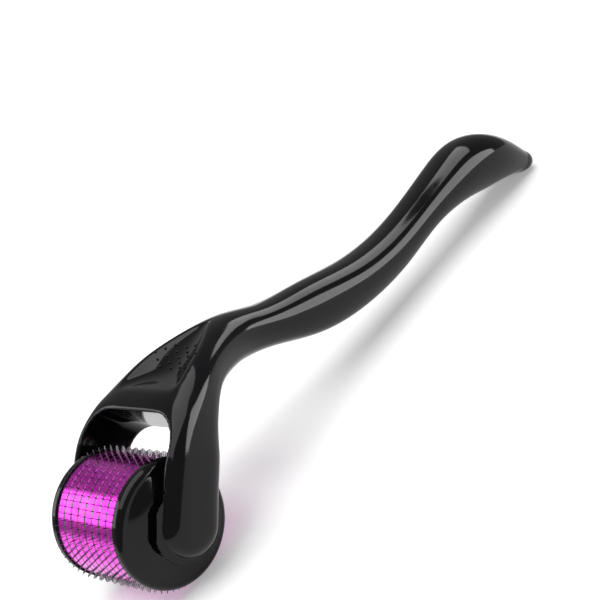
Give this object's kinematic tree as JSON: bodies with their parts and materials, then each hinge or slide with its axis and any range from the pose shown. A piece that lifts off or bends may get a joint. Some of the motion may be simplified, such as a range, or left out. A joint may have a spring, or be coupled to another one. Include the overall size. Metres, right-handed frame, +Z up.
{
  "type": "micro-needle skin roller",
  "caption": "Hand-held micro-needle skin roller: a needle drum with plated spacer rings turns in the fork of a curved gloss handle with a dished thumb rest.",
  "frame": {"origin": "centre of the base of the whole tool's bounding box, on the surface it rests on, midway between the front of the drum and the tip of the grip", "axes": "+X along the drum's axle, +Y from the drum towards the tip of the grip, +Z up; the tool lies as it rests on a table, on its needle tips and on the tip of the grip"},
  "size_m": [0.034, 0.1413, 0.0303],
  "materials": {
    "handle_gloss_black": "moulded, high gloss black",
    "cap_gloss_black": "moulded, high gloss black",
    "core_plastic": "moulded black, hidden inside the drum",
    "needle_steel": "thin bright sheet metal",
    "ring_magenta_plated": "mirror-like magenta metallised coat"
  },
  "bodies": {
    "handle": {"handle": "handle_gloss_black"},
    "drum": {"drum_core": "core_plastic", "left_end_cap": "cap_gloss_black", "right_end_cap": "cap_gloss_black", "needle_disc_1": "needle_steel", "needle_disc_2": "needle_steel", "needle_disc_3": "needle_steel", "needle_disc_4": "needle_steel", "needle_disc_5": "needle_steel", "needle_disc_6": "needle_steel", "needle_disc_7": "needle_steel", "needle_disc_8": "needle_steel", "needle_disc_9": "needle_steel", "spacer_ring_1": "ring_magenta_plated", "spacer_ring_2": "ring_magenta_plated", "spacer_ring_3": "ring_magenta_plated", "spacer_ring_4": "ring_magenta_plated", "spacer_ring_5": "ring_magenta_plated", "spacer_ring_6": "ring_magenta_plated", "spacer_ring_7": "ring_magenta_plated", "spacer_ring_8": "ring_magenta_plated"}
  },
  "joints": [
    {"name": "drum_spin", "type": "hinge", "parent": "handle", "child": "drum", "pos_m": [0, -0.05825, 0.0124], "axis": [1, 0, 0], "continuous": true}
  ]
}
